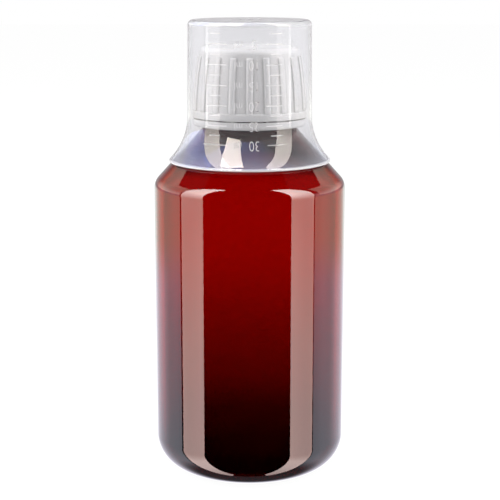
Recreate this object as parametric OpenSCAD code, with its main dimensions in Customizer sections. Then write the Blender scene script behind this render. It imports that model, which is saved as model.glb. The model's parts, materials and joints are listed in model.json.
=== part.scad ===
// Amber glass bottle with a ribbed screw cap and a clear measuring cup set upside down over the cap.
// The origin is the centre of the circle that the bottle stands on, and +Z is up.

/* [Bottle] */
// Outside diameter of the straight body
body_d = 54.6; // [51:0.2:59]
// Height at which the straight side ends and the shoulder begins
body_h = 82.8; // [70:0.2:100]
// Radius of the rounded heel
heel_r = 9.6; // [7:0.2:11]
// Width of the flat ring that the bottle stands on
stand_w = 2.2; // [1.4:0.1:3.2]
// How far the middle of the base is pushed up
push_up_h = 2.4; // [1:0.1:4]
// Glass thickness of the side
glass_t = 2.4; // [1.8:0.1:2.8]
// Glass thickness in the middle of the base
base_t = 3; // [2.4:0.1:5]
// Outer radius of the corner between side and shoulder
shoulder_r = 4.2; // [3:0.1:6]
// Slope of the shoulder, from the level
shoulder_angle = 48; // [44:1:52]

/* [Neck] */
// Diameter over the neck's thread, which the neck, the cap and the cup are sized from
thread_d = 27.2; // [24:0.1:31]
// How far the thread stands out of the neck wall
thread_depth = 1.15; // [0.9:0.05:1.4]
// Thickness of the neck wall, inside the thread
neck_wall = 3.15; // [2.4:0.05:4]
// Height from the foot of the neck to the mouth
finish_h = 18.95; // [16:0.05:23]
// Radius of the fillet at the foot of the neck
root_r = 2; // [1:0.1:2.6]
// Radius of the rounded throat inside, where the shoulder opens into the bore
throat_r = 4; // [2:0.2:6]
// Radius of the rounded edges of the mouth
lip_r = 0.7; // [0.4:0.05:1]
// How far the bead that holds the tamper band stands out past the thread
bead_out = 0.6; // [0.4:0.05:0.8]
// Height of the bead
bead_h = 2; // [1.6:0.1:2.4]
// Share of the bead's height that its upper slope takes up
bead_slope_share = 0.875; // [0.6:0.025:0.95]
// Height of the bead's flat underside above the foot of the neck
bead_rise = 2.75; // [2.3:0.05:3.5]

/* [Screw cap] */
// Wall of the cap between its bore and the side between the ribs, at the foot
cap_wall = 1.95; // [1.6:0.05:2.4]
// Radius of the long curve by which the side draws in towards the top
side_curve_r = 100; // [90:5:200]
// Radius of the rounded top edge
top_edge_r = 1.6; // [1:0.1:2]
// Thickness of the cap's top
top_t = 1.6; // [1.2:0.1:2]
// Number of grip ribs
rib_count = 20; // [16:1:24]
// Width of a rib
rib_w = 1.75; // [1.2:0.05:2.2]
// How far a rib stands out of the side
rib_out = 0.45; // [0.3:0.05:0.6]
// Distance of the ribs' upper ends from the top
rib_end_drop = 2.3; // [2:0.1:4]
// Height of the smooth band at the foot, below the ribs
foot_band_h = 2; // [1:0.1:3]
// How far the smooth band stands out past the ribs
foot_band_out = 0.12; // [0.05:0.01:0.2]
// Radial room between the thread and the bore of the cap
thread_gap = 0.2; // [0.15:0.05:0.25]
// Radial room between the bead and the cap's foot
bead_gap = 0.35; // [0.3:0.05:0.5]

/* [Tamper band] */
// Height of the band
band_h = 2.2; // [1.8:0.1:2.4]
// Slit between the band and the cap
slit_h = 0.3; // [0.25:0.05:0.4]
// Play of the band below the bead
band_play = 0.9; // [0.6:0.05:1.2]
// Radius of the band's rounded lower edge
band_edge_r = 0.9; // [0.5:0.1:1.1]
// Wall of the band
band_wall = 1.3; // [1.2:0.05:1.4]
// Number of flaps that catch under the bead
flap_count = 12; // [8:1:14]
// Width of a flap, as an angle
flap_angle = 18; // [12:1:22]
// Thickness of a flap
flap_t = 0.5; // [0.4:0.05:0.6]
// How far a flap reaches inwards
flap_reach = 1.3; // [1.1:0.05:1.5]
// Number of bridges that tied the band to the cap
bridge_count = 10; // [6:1:14]
// Width of a bridge
bridge_w = 0.6; // [0.4:0.05:0.8]
// Gap left where a bridge has parted from the cap
bridge_gap = 0.05; // [0.03:0.01:0.1]

/* [Sealing disc] */
// Thickness of the disc
disc_t = 1.2; // [0.8:0.05:1.6]
// How far the disc reaches past the mouth's outer edge
disc_margin = 0.55; // [0.4:0.05:0.6]
// Play of the disc between the mouth and the cap's top, on each side
disc_play = 0.05; // [0.03:0.01:0.08]
// Radial room round the disc
disc_gap = 0.15; // [0.1:0.05:0.2]

/* [Measuring cup] */
// Room between the cap's top and the closed end of the cup
head_room = 6.67; // [4:0.01:12]
// Room between the cap and the cup where the flare begins
cup_gap = 0.8; // [0.6:0.05:1.4]
// How much narrower the closed end is than the waist, all across
cup_taper = 0.5; // [0:0.05:0.6]
// Wall of the cup
cup_wall = 0.7; // [0.6:0.05:0.8]
// Thickness of the closed end
cup_floor_t = 0.8; // [0.7:0.05:1.2]
// Outer radius of the rounded edge of the closed end
cup_edge_r = 1.3; // [0.9:0.1:2]
// Radius of the flare
flare_r = 18; // [16:0.5:20]
// Angle through which the flare turns
flare_angle = 46; // [40:1:50]
// Diameter of the shallow dimple in the closed end
dimple_d = 5.8; // [4:0.2:8]
// Depth of the dimple
dimple_depth = 0.25; // [0.1:0.05:0.3]
// Gap between the flare and the shoulder that it is set on
rest_gap = 0.3; // [0.25:0.05:0.5]

/* [Hidden] */
$fn = 96;
long_arc_steps = 10;
arc_steps = 8;
short_arc_steps = 5;
// Overrun of every cut
over = 1;

body_r = body_d / 2;
thread_r = thread_d / 2;
neck_r = thread_r - thread_depth;
bore_r = neck_r - neck_wall;
bead_r = thread_r + bead_out;

// The shoulder's cone, from the end of the corner up to the neck
cone_normal = 90 - shoulder_angle;
corner_c_r = body_r - shoulder_r;
cone_start_r = corner_c_r + shoulder_r * cos(cone_normal);
cone_start_z = body_h + shoulder_r * sin(cone_normal);
function cone_z(r) = cone_start_z + (cone_start_r - r) * tan(shoulder_angle);
function inner_cone_z(r) = cone_z(r) - glass_t / cos(shoulder_angle);
neck_foot_z = cone_z(neck_r);
mouth_z = neck_foot_z + finish_h;
bead_z = neck_foot_z + bead_rise;

// The closure reaches from the mouth down to the bead
disc_r = neck_r + disc_margin;
disc_z = mouth_z + disc_play;
ceiling_z = disc_z + disc_t + disc_play;
cap_top_z = ceiling_z + top_t;
band_top_z = bead_z - band_play;
band_z = band_top_z - band_h;
cap_foot_z = band_top_z + slit_h;
cap_h = cap_top_z - cap_foot_z;
cap_bore_r = thread_r + thread_gap;
cap_plain_r = cap_bore_r + cap_wall;
cap_r = cap_plain_r + rib_out;
cap_relief_r = bead_r + bead_gap;
cap_relief_z = bead_z + bead_h + bead_gap;
rib_end_z = cap_top_z - rib_end_drop;
band_r = cap_r - foot_band_out / 2;
band_in_r = band_r - band_wall;

// The cup is set on the shoulder where its flare runs level with the cone
cup_waist_r = cap_r + cup_gap + cup_wall;
cup_base_r = cup_waist_r - cup_taper / 2;
flare_c_r = cup_waist_r + flare_r;
flare_in_r = flare_r + cup_wall;
seat_angle = min(flare_angle, cone_normal);
seat_r = flare_c_r - flare_in_r * cos(seat_angle);
flare_z = cone_z(seat_r) + rest_gap / cos(shoulder_angle) + flare_in_r * sin(seat_angle);
cup_rim_z = flare_z - flare_in_r * sin(flare_angle);
cup_top_z = cap_top_z + head_room + cup_floor_t;

// Points of an arc in the plane of a revolved outline, as [radius, height]
function arc_points(c_r, c_z, r, from_a, to_a, steps) = [
    for (i = [0:steps])
        let (a = from_a + (to_a - from_a) * i / steps)
        [c_r + r * cos(a), c_z + r * sin(a)]
];

// A low dome from the axis to a rim, as an arc that runs outwards
function dome_points(rim_r, rim_z, rise) =
    let (r = (rise * rise + rim_r * rim_r) / (2 * rise))
    arc_points(0, rim_z + rise - r, r, 90, asin((r - rise) / r), arc_steps);

function reversed(points) = [for (i = [len(points) - 1:-1:0]) points[i]];

module revolved(points) {
    rotate_extrude() polygon(points);
}

// Copies of a piece, evenly spaced round the axis
module around(count) {
    for (i = [0:count - 1])
        rotate([0, 0, 360 * i / count])
            children();
}

module bottle() {
    stand_out_r = body_r - heel_r;
    stand_in_r = stand_out_r - stand_w;
    root_c_r = neck_r + root_r;
    root_c_z = cone_z(root_c_r) + root_r / cos(shoulder_angle);
    throat_c_r = bore_r + throat_r;
    throat_c_z = inner_cone_z(throat_c_r) + throat_r / cos(shoulder_angle);
    outside = concat(
        dome_points(stand_in_r, 0, push_up_h),
        arc_points(stand_out_r, heel_r, heel_r, -90, 0, long_arc_steps),
        arc_points(corner_c_r, body_h, shoulder_r, 0, cone_normal, arc_steps),
        arc_points(root_c_r, root_c_z, root_r, 180 + cone_normal, 180, arc_steps),
        [
            [neck_r, bead_z],
            [bead_r, bead_z],
            [bead_r, bead_z + bead_h * (1 - bead_slope_share)],
            [neck_r, bead_z + bead_h],
        ],
        arc_points(neck_r - lip_r, mouth_z - lip_r, lip_r, 0, 90, short_arc_steps)
    );
    inside = concat(
        arc_points(bore_r + lip_r, mouth_z - lip_r, lip_r, 90, 180, short_arc_steps),
        arc_points(throat_c_r, throat_c_z, throat_r, 180, 180 + cone_normal, arc_steps),
        arc_points(corner_c_r, body_h, shoulder_r - glass_t, cone_normal, 0, short_arc_steps),
        arc_points(stand_out_r, heel_r, heel_r - glass_t, 0, -90, long_arc_steps),
        reversed(dome_points(stand_out_r, glass_t, push_up_h + base_t - glass_t))
    );
    color([0.36, 0.05, 0.02]) revolved(concat(outside, inside));
}

// The curved side of the cap at a chosen distance outside its plain wall, up to a chosen height
function side_points(out, to_z) =
    let (r = cap_plain_r + out)
    arc_points(r - side_curve_r, cap_foot_z, side_curve_r, 0,
        asin((to_z - cap_foot_z) / side_curve_r), arc_steps);

module screw_cap() {
    edge_a = asin((cap_h - top_edge_r) / (side_curve_r - top_edge_r));
    edge_c_r = cap_plain_r - side_curve_r + (side_curve_r - top_edge_r) * cos(edge_a);
    shell = concat(
        [[0, cap_foot_z]],
        arc_points(cap_plain_r - side_curve_r, cap_foot_z, side_curve_r, 0, edge_a, arc_steps),
        arc_points(edge_c_r, cap_top_z - top_edge_r, top_edge_r, edge_a, 90, arc_steps),
        [[0, cap_top_z]]
    );
    disc_seat_r = disc_r + disc_gap;
    step_h = cap_bore_r - disc_seat_r;
    hollow = [
        [0, cap_foot_z - over],
        [cap_relief_r, cap_foot_z - over],
        [cap_relief_r, cap_relief_z],
        [cap_bore_r, cap_relief_z + cap_relief_r - cap_bore_r],
        [cap_bore_r, disc_z - 2 * step_h],
        [disc_seat_r, disc_z - step_h],
        [disc_seat_r, ceiling_z],
        [0, ceiling_z],
    ];
    foot_band_r = cap_r + foot_band_out;
    foot_band_z = cap_foot_z + foot_band_h;
    foot_band = [
        [cap_relief_r, cap_foot_z],
        [foot_band_r, cap_foot_z],
        [foot_band_r, foot_band_z - foot_band_out],
        [cap_r, foot_band_z],
        [cap_relief_r, foot_band_z],
    ];
    rib_side = [for (p = side_points(rib_out, rib_end_z - rib_out)) if (p[1] > foot_band_z) p];
    rib_ring = concat(
        [[cap_bore_r, foot_band_z - foot_band_out], [cap_r, foot_band_z - foot_band_out]],
        rib_side,
        [[rib_side[len(rib_side) - 1][0] - rib_out, rib_end_z]],
        [[cap_bore_r, rib_end_z]]
    );
    color("white")
        difference() {
            union() {
                revolved(shell);
                revolved(foot_band);
                intersection() {
                    revolved(rib_ring);
                    around(rib_count)
                        translate([0, -rib_w / 2, cap_foot_z])
                            cube([cap_r + over, rib_w, cap_h]);
                }
            }
            revolved(hollow);
        }
}

module tamper_band() {
    ring = concat(
        [[band_in_r, band_z]],
        arc_points(band_r - band_edge_r, band_z + band_edge_r, band_edge_r, -90, 0, short_arc_steps),
        [[band_r, band_top_z], [band_in_r, band_top_z]]
    );
    // A flap rises inwards from the foot of the ring, as it was folded up in making
    flap = [
        [band_in_r + band_wall / 2, band_z],
        [band_in_r + band_wall / 2, band_z + flap_t],
        [band_in_r, band_z + flap_t],
        [band_in_r - flap_reach + flap_t, band_top_z],
        [band_in_r - flap_reach, band_top_z],
        [band_in_r, band_z],
    ];
    color("white") {
        revolved(ring);
        around(flap_count)
            rotate_extrude(angle = flap_angle) polygon(flap);
        around(bridge_count)
            translate([band_in_r + band_wall / 4, -bridge_w / 2, band_top_z - flap_t])
                cube([band_wall / 2, bridge_w, flap_t + slit_h - bridge_gap]);
    }
}

module sealing_disc() {
    color([0.93, 0.93, 0.9])
        translate([0, 0, disc_z])
            cylinder(h = disc_t, r = disc_r);
}

module measuring_cup() {
    rim_a = 180 + flare_angle;
    outside = concat(
        [[0, cup_top_z]],
        arc_points(cup_base_r - cup_edge_r, cup_top_z - cup_edge_r, cup_edge_r, 90, 0, short_arc_steps),
        arc_points(flare_c_r, flare_z, flare_r, 180, rim_a, long_arc_steps)
    );
    inside = concat(
        arc_points(flare_c_r, flare_z, flare_in_r, rim_a, 180, long_arc_steps),
        arc_points(cup_base_r - cup_edge_r, cup_top_z - cup_edge_r, cup_edge_r - cup_wall, 0, 90,
            short_arc_steps),
        [[0, cup_top_z - cup_floor_t]]
    );
    color([0.85, 0.86, 0.9, 0.4])
        difference() {
            revolved(concat(outside, inside));
            translate([0, 0, cup_top_z - dimple_depth])
                cylinder(h = dimple_depth + over, r = dimple_d / 2);
        }
}

bottle();
tamper_band();
sealing_disc();
screw_cap();
measuring_cup();
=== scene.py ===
"""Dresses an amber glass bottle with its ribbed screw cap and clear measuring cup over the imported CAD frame.

Sizes in the classes are millimetres and are turned into metres as a mesh is made. +Z is up and the viewer of the
photograph looks along +Y. Angles round the axis are counted from the side that faces the viewer, towards +X.
"""

import json
import logging
import math
from collections.abc import Iterable, Sequence
from dataclasses import dataclass, field, fields, replace
from enum import Enum

import bmesh
import bpy
from bpy.types import ID, Collection, Light, Material, Mesh, Node, NodeSocket, NodeTree, Object
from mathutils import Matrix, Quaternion, Vector

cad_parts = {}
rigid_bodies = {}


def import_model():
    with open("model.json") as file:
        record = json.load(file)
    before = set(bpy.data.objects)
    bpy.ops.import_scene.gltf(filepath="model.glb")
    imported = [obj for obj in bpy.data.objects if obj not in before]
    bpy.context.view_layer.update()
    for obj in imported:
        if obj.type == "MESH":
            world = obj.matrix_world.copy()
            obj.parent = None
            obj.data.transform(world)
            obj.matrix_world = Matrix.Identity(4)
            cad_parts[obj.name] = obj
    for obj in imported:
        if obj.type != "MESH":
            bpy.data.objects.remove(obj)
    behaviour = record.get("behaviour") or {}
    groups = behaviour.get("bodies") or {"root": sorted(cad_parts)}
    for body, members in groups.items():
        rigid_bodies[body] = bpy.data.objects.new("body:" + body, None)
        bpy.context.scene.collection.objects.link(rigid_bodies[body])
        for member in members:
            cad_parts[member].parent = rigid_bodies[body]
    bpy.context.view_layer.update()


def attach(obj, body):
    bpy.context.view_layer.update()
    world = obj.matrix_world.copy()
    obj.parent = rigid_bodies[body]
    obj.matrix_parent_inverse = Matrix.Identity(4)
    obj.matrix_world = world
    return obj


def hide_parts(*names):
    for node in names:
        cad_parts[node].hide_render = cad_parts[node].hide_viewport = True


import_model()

log = logging.getLogger("bottle_with_cup")

MM = 0.001
# Cubic millimetres in a millilitre
ML = 1000.0
# Lengths and distances below this count as none
TINY = 1e-6
Point = tuple[float, float]
Spot = tuple[float, float, float]
Spread = tuple[float, float, float, float]
Outline = list[Point]
Colour = tuple[float, float, float]
RampStop = tuple[float, Colour]
WHITE = (1.0, 1.0, 1.0, 1.0)
# Numbers of the Mix node's sockets for colours
MIX_SHARE, MIX_LOW, MIX_HIGH, MIX_RESULT = 0, 6, 7, 2


class Body(str, Enum):
    """The moving bodies of the frame, each with one node of the same name."""

    BOTTLE = "bottle"
    BAND = "tamper_band"
    DISC = "sealing_disc"
    CAP = "screw_cap"
    CUP = "measuring_cup"


class Slot(str, Enum):
    """The record's material slots."""

    GLASS = "amber_glass"
    WHITE = "white_plastic"
    SEAL = "seal_foam"
    CLEAR = "clear_plastic"


class ThreadSide(float, Enum):
    """Which way a screw thread stands out of the wall that carries it."""

    NONE = 0.0
    OUTWARDS = 1.0
    INWARDS = -1.0


# ---------------------------------------------------------------------------------------------------- outlines


def evenly(start: float, end: float, steps: int) -> list[float]:
    """Values in even steps, with both ends."""
    return [start + (end - start) * i / steps for i in range(steps + 1)]


def arc(c_r: float, c_z: float, r: float, start: float, end: float, steps: int) -> Outline:
    """Points of an arc in the plane of a revolved outline.

    Args:
        c_r: Radius of the arc's centre from the axis.
        c_z: Height of the arc's centre.
        r: Radius of the arc.
        start: First angle in degrees, from the level and upwards.
        end: Last angle in degrees.
        steps: Number of steps from the first to the last point.

    Returns:
        The points as (radius, height).
    """
    turns = map(math.radians, evenly(start, end, steps))
    return [(c_r + r * math.cos(a), c_z + r * math.sin(a)) for a in turns]


def dome(rim_r: float, rim_z: float, rise: float, steps: int) -> Outline:
    """A low dome from the axis out to its rim.

    Args:
        rim_r: Radius of the rim.
        rim_z: Height of the rim.
        rise: Height of the middle above the rim.
        steps: Number of steps along the dome.

    Returns:
        The points as (radius, height), the one on the axis first.
    """
    r = (rise * rise + rim_r * rim_r) / (2 * rise)
    return arc(0.0, rim_z + rise - r, r, 90.0, math.degrees(math.asin((r - rise) / r)), steps)


def rounded(corners: Sequence[Spot], steps: int = 4, closed: bool = False) -> Outline:
    """Rounds the corners of an outline.

    Args:
        corners: Corner points as (radius, height, fillet radius); a fillet of zero leaves the corner as it is.
        steps: Number of steps along each fillet.
        closed: True if the last corner joins the first.

    Returns:
        The points of the rounded outline.
    """
    points: Outline = []
    count = len(corners)
    for i, (x, y, fillet) in enumerate(corners):
        ends = not closed and i in (0, count - 1)
        if fillet <= 0 or ends:
            points.append((x, y))
            continue
        here = Vector((x, y))
        back = (Vector(corners[i - 1][:2]) - here).normalized()
        ahead = (Vector(corners[(i + 1) % count][:2]) - here).normalized()
        half = back.angle(ahead) / 2
        centre = here + (back + ahead).normalized() * fillet / math.sin(half)
        from_v = here + back * fillet / math.tan(half) - centre
        to_v = here + ahead * fillet / math.tan(half) - centre
        sweep = (math.atan2(to_v.y, to_v.x) - math.atan2(from_v.y, from_v.x) + math.pi) % math.tau - math.pi
        first = math.atan2(from_v.y, from_v.x)
        for a in evenly(first, first + sweep, steps):
            points.append((centre.x + fillet * math.cos(a), centre.y + fillet * math.sin(a)))
    if closed:
        points.append(points[0])
    return points


def supported(points: Outline, longest: float = 6.0, edge: float = 0.25) -> Outline:
    """Adds points to the long straights of an outline, so that smooth shading keeps them straight.

    Args:
        points: The outline.
        longest: Straights longer than this are divided.
        edge: Distance of the added end points from the straight's ends.

    Returns:
        The outline with the added points.
    """
    result: Outline = [points[0]]
    for (x0, y0), (x1, y1) in zip(points, points[1:]):
        length = math.hypot(x1 - x0, y1 - y0)
        if length > 4 * edge:
            parts = max(1, math.ceil(length / longest))
            shares = [edge / length, *evenly(0.0, 1.0, parts)[1:-1], 1 - edge / length]
            result += [(x0 + (x1 - x0) * s, y0 + (y1 - y0) * s) for s in shares]
        if length > TINY:
            result.append((x1, y1))
    return result


@dataclass(frozen=True)
class Thread:
    """A screw thread on one wall of a turned form. Its fields are inputs of the tree that turns the form."""

    side: ThreadSide = ThreadSide.NONE
    depth: float = 0.0
    pitch: float = 3.18
    start: float = 0.0
    turns: float = 0.0
    fade: float = 0.09
    crest_half: float = 0.4
    root_half: float = 1.0
    wall_r: float = 0.0

    def inputs(self) -> dict[str, float]:
        """The fields by name, with the lengths in metres."""
        plain = ("side", "turns", "fade")
        return {f.name: float(getattr(self, f.name)) * (1.0 if f.name in plain else MM) for f in fields(self)}


# ------------------------------------------------------------------------------------------------- node trees


class Sketch:
    """Adds nodes and links to one node tree."""

    def __init__(self, tree: NodeTree) -> None:
        """Takes the tree to draw in."""
        self.tree = tree

    def wire(self, socket: NodeSocket, value: object) -> None:
        """Links a socket, or sets its value.

        Args:
            socket: The input socket.
            value: An output socket to link from, or a plain value.
        """
        if isinstance(value, NodeSocket):
            self.tree.links.new(value, socket)
        else:
            socket.default_value = value

    def add(self, kind: str, *values: object, named: dict[str, object] | None = None, **settings: object) -> Node:
        """Adds a node.

        Args:
            kind: The node's type name.
            *values: Values or output sockets for the node's inputs in order; None leaves one as it is.
            named: Values or output sockets for inputs by name.
            **settings: Properties of the node.

        Returns:
            The node.
        """
        node = self.tree.nodes.new(kind)
        for name, setting in settings.items():
            setattr(node, name, setting)
        sockets = [s for s in node.inputs if s.enabled]
        for socket, value in zip(sockets, values):
            if value is not None:
                self.wire(socket, value)
        for name, value in (named or {}).items():
            self.wire(node.inputs[name], value)
        return node

    def math(self, operation: str, *values: object) -> NodeSocket:
        """Adds a Math node with an operation and its operands, and gives its result."""
        return self.add("ShaderNodeMath", *values, operation=operation).outputs[0]

    def ease(self, value: object, low: object, high: object, at_low: float, at_high: float) -> NodeSocket:
        """Adds a smooth Map Range node, which gives at_low up to low and at_high from high on."""
        limits = {"Value": value, "From Min": low, "From Max": high, "To Min": at_low, "To Max": at_high}
        return self.add("ShaderNodeMapRange", named=limits, interpolation_type="SMOOTHSTEP").outputs["Result"]

    def scale(self, colour: NodeSocket, factor: NodeSocket) -> NodeSocket:
        """Multiplies a colour by a number."""
        return self.add("ShaderNodeVectorMath", colour, named={"Scale": factor}, operation="SCALE").outputs[0]

    def mix(self, share: object, low: object, high: object, blend: str = "MIX") -> NodeSocket:
        """Mixes two colours.

        Args:
            share: Share of the second colour, 0 to 1.
            low: The first colour.
            high: The second colour.
            blend: How the second colour is laid over the first.

        Returns:
            The mixed colour.
        """
        node = self.add("ShaderNodeMix", data_type="RGBA", blend_type=blend)
        for number, value in ((MIX_SHARE, share), (MIX_LOW, low), (MIX_HIGH, high)):
            self.wire(node.inputs[number], value)
        return node.outputs[MIX_RESULT]

    def ramp(self, value: NodeSocket, stops: Sequence[RampStop]) -> NodeSocket:
        """Adds a colour ramp over a value in metres.

        Args:
            value: The value, such as a height.
            stops: Rising stops as (value in millimetres, colour).

        Returns:
            The colour.
        """
        low, high = stops[0][0], stops[-1][0]
        limits = {"Value": value, "From Min": low * MM, "From Max": high * MM}
        share = self.add("ShaderNodeMapRange", named=limits).outputs["Result"]
        ramp = self.add("ShaderNodeValToRGB", share)
        elements = ramp.color_ramp.elements
        while len(elements) > 1:
            elements.remove(elements[-1])
        for i, (place, colour) in enumerate(stops):
            spot = (place - low) / (high - low)
            element = elements.new(spot) if i else elements[0]
            element.position, element.color = spot, (*colour, 1.0)
        return ramp.outputs["Color"]


class MeshTree(Sketch):
    """A new geometry node tree with a Geometry and a Material input and a Geometry output."""

    def __init__(self, name: str, inputs: dict[str, str]) -> None:
        """Starts the tree.

        Args:
            name: Name of the tree.
            inputs: Socket types of its further inputs by name.
        """
        super().__init__(bpy.data.node_groups.new(name, "GeometryNodeTree"))
        kinds = {"Geometry": "NodeSocketGeometry", **inputs, "Material": "NodeSocketMaterial"}
        for label, kind in kinds.items():
            self.tree.interface.new_socket(name=label, in_out="INPUT", socket_type=kind)
        self.tree.interface.new_socket(name="Geometry", in_out="OUTPUT", socket_type="NodeSocketGeometry")
        self.given = self.add("NodeGroupInput").outputs
        self.output = self.add("NodeGroupOutput")

    def finish(self, shape: NodeSocket) -> NodeTree:
        """Ends the tree: instances are made real, shaded smooth and given the material.

        Args:
            shape: The geometry so far.

        Returns:
            The node tree.
        """
        real = self.add("GeometryNodeRealizeInstances", shape).outputs[0]
        smooth = self.add("GeometryNodeSetShadeSmooth", real).outputs[0]
        dressed = self.add("GeometryNodeSetMaterial", smooth, None, self.given["Material"]).outputs[0]
        self.wire(self.output.inputs[0], dressed)
        return self.tree


def turned_tree() -> NodeTree:
    """Builds the tree that turns an outline round the axis and cuts a screw thread on one of its walls.

    The input mesh holds the outline's points in order, with the radius in X and the height in Z.

    Returns:
        The node tree.
    """
    numbers = {f.name: "NodeSocketFloat" for f in fields(Thread)}
    sketch = MeshTree("turned_form", {"Segments": "NodeSocketInt", **numbers})
    inlet = sketch.given
    rows = sketch.add("GeometryNodeAttributeDomainSize", inlet["Geometry"], component="MESH").outputs["Point Count"]
    around = sketch.math("ADD", inlet["Segments"], 1.0)
    grid = sketch.add("GeometryNodeMeshGrid", 1.0, 1.0, around, rows)
    position = sketch.add("GeometryNodeInputPosition").outputs[0]
    place = sketch.add("ShaderNodeSeparateXYZ", position)
    share = sketch.math("ADD", place.outputs["X"], 0.5)
    row_share = sketch.math("ADD", place.outputs["Y"], 0.5)
    row = sketch.math("ROUND", sketch.math("MULTIPLY", row_share, sketch.math("SUBTRACT", rows, 1.0)))
    sample = sketch.add(
        "GeometryNodeSampleIndex", inlet["Geometry"], position, row, data_type="FLOAT_VECTOR", domain="POINT"
    )
    point = sketch.add("ShaderNodeSeparateXYZ", sample.outputs[0])
    radius, height = point.outputs["X"], point.outputs["Z"]
    angle = sketch.math("MULTIPLY", share, math.tau)

    # Distance along the axis from the nearest turn of the thread, and how many turns up the thread that is
    climb = sketch.math("DIVIDE", sketch.math("SUBTRACT", height, inlet["start"]), inlet["pitch"])
    offset = sketch.math("SUBTRACT", climb, share)
    whole = sketch.math("ROUND", offset)
    away = sketch.math("ABSOLUTE", sketch.math("SUBTRACT", offset, whole))
    distance = sketch.math("MULTIPLY", away, inlet["pitch"])
    turn = sketch.math("ADD", whole, share)
    ridge = sketch.ease(distance, inlet["crest_half"], inlet["root_half"], 1.0, 0.0)
    run_in = sketch.ease(turn, 0.0, inlet["fade"], 0.0, 1.0)
    tail = sketch.math("SUBTRACT", inlet["turns"], inlet["fade"])
    run_out = sketch.ease(turn, tail, inlet["turns"], 1.0, 0.0)
    on_wall = sketch.math("COMPARE", radius, inlet["wall_r"], TINY)
    reach = sketch.math("MULTIPLY", inlet["depth"], inlet["side"])
    for factor in (ridge, run_in, run_out, on_wall):
        reach = sketch.math("MULTIPLY", reach, factor)
    far = sketch.math("ADD", radius, reach)
    spot = sketch.add(
        "ShaderNodeCombineXYZ",
        sketch.math("MULTIPLY", far, sketch.math("COSINE", angle)),
        sketch.math("MULTIPLY", far, sketch.math("SINE", angle)),
        height,
    )
    placed = sketch.add("GeometryNodeSetPosition", grid.outputs["Mesh"], named={"Position": spot.outputs[0]})
    merged = sketch.add("GeometryNodeMergeByDistance", placed.outputs[0], named={"Distance": TINY})
    return sketch.finish(merged.outputs[0])


def ring_tree() -> NodeTree:
    """Builds the tree that sets copies of the input mesh evenly round the axis.

    Returns:
        The node tree.
    """
    sketch = MeshTree("set_round_axis", {"Count": "NodeSocketInt"})
    count = sketch.given["Count"]
    points = sketch.add("GeometryNodePoints", count).outputs[0]
    index = sketch.add("GeometryNodeInputIndex").outputs[0]
    angle = sketch.math("MULTIPLY", index, sketch.math("DIVIDE", math.tau, count))
    turn = sketch.add("ShaderNodeCombineXYZ", 0.0, 0.0, angle).outputs[0]
    values = {"Instance": sketch.given["Geometry"], "Rotation": turn}
    return sketch.finish(sketch.add("GeometryNodeInstanceOnPoints", points, named=values).outputs[0])


def bead_tree() -> NodeTree:
    """Builds the tree that lays a round bead along every wire of the input mesh.

    Returns:
        The node tree.
    """
    sketch = MeshTree("bead_along_wires", {"Radius": "NodeSocketFloat", "Sides": "NodeSocketInt"})
    wires = sketch.add("GeometryNodeMeshToCurve", sketch.given["Geometry"]).outputs[0]
    values = {"Resolution": sketch.given["Sides"], "Radius": sketch.given["Radius"]}
    section = sketch.add("GeometryNodeCurvePrimitiveCircle", named=values, mode="RADIUS").outputs[0]
    return sketch.finish(sketch.add("GeometryNodeCurveToMesh", wires, section, named={"Fill Caps": True}).outputs[0])


def add_object(name: str, data: ID) -> Object:
    """Adds an object to the scene.

    Args:
        name: Name of the object.
        data: Its mesh, text, lamp or camera.

    Returns:
        The object.
    """
    thing = bpy.data.objects.new(name, data)
    bpy.context.scene.collection.objects.link(thing)
    return thing


def plain_copy(carrier: Object) -> Mesh:
    """Makes a plain mesh of what an object shows, and removes the object.

    Args:
        carrier: The object.

    Returns:
        The mesh.
    """
    graph = bpy.context.evaluated_depsgraph_get()
    result = bpy.data.meshes.new_from_object(carrier.evaluated_get(graph))
    carrier.modifiers.clear()
    bpy.data.objects.remove(carrier)
    return result


def apply_tree(name: str, mesh: Mesh, tree: NodeTree, values: dict[str, object]) -> Mesh:
    """Runs a geometry node tree on a mesh and returns the plain mesh that it makes.

    Args:
        name: Name of the new mesh.
        mesh: The tree's input; it is removed afterwards.
        tree: The node tree.
        values: Values of the tree's named inputs.

    Returns:
        The new mesh, with its faces pointing outwards.
    """
    carrier = add_object(name + "_carrier", mesh)
    modifier = carrier.modifiers.new("maker", "NODES")
    modifier.node_group = tree
    for item in tree.interface.items_tree:
        if item.item_type == "SOCKET" and item.in_out == "INPUT" and item.name in values:
            modifier[item.identifier] = values[item.name]
    carrier.update_tag()
    result = plain_copy(carrier)
    result.name = name
    bpy.data.meshes.remove(mesh)
    face_outwards(result)
    return result


def face_outwards(mesh: Mesh) -> None:
    """Turns a closed mesh's faces outwards.

    Args:
        mesh: The mesh.
    """
    shape = bmesh.new()
    shape.from_mesh(mesh)
    if shape.calc_volume(signed=True) < 0:
        bmesh.ops.reverse_faces(shape, faces=shape.faces)
    shape.to_mesh(mesh)
    shape.free()


def plain_mesh(
    name: str,
    points: Iterable[Sequence[float]],
    faces: Iterable[Sequence[int]] = (),
    edges: Iterable[tuple[int, int]] = (),
) -> Mesh:
    """Makes a mesh from points in millimetres.

    Args:
        name: Name of the mesh.
        points: The points as (x, y, z).
        faces: Lists of point numbers.
        edges: Pairs of point numbers, for edges without a face.

    Returns:
        The mesh, in metres.
    """
    mesh = bpy.data.meshes.new(name)
    mesh.from_pydata([tuple(c * MM for c in p) for p in points], list(edges), [tuple(f) for f in faces])
    return mesh


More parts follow.
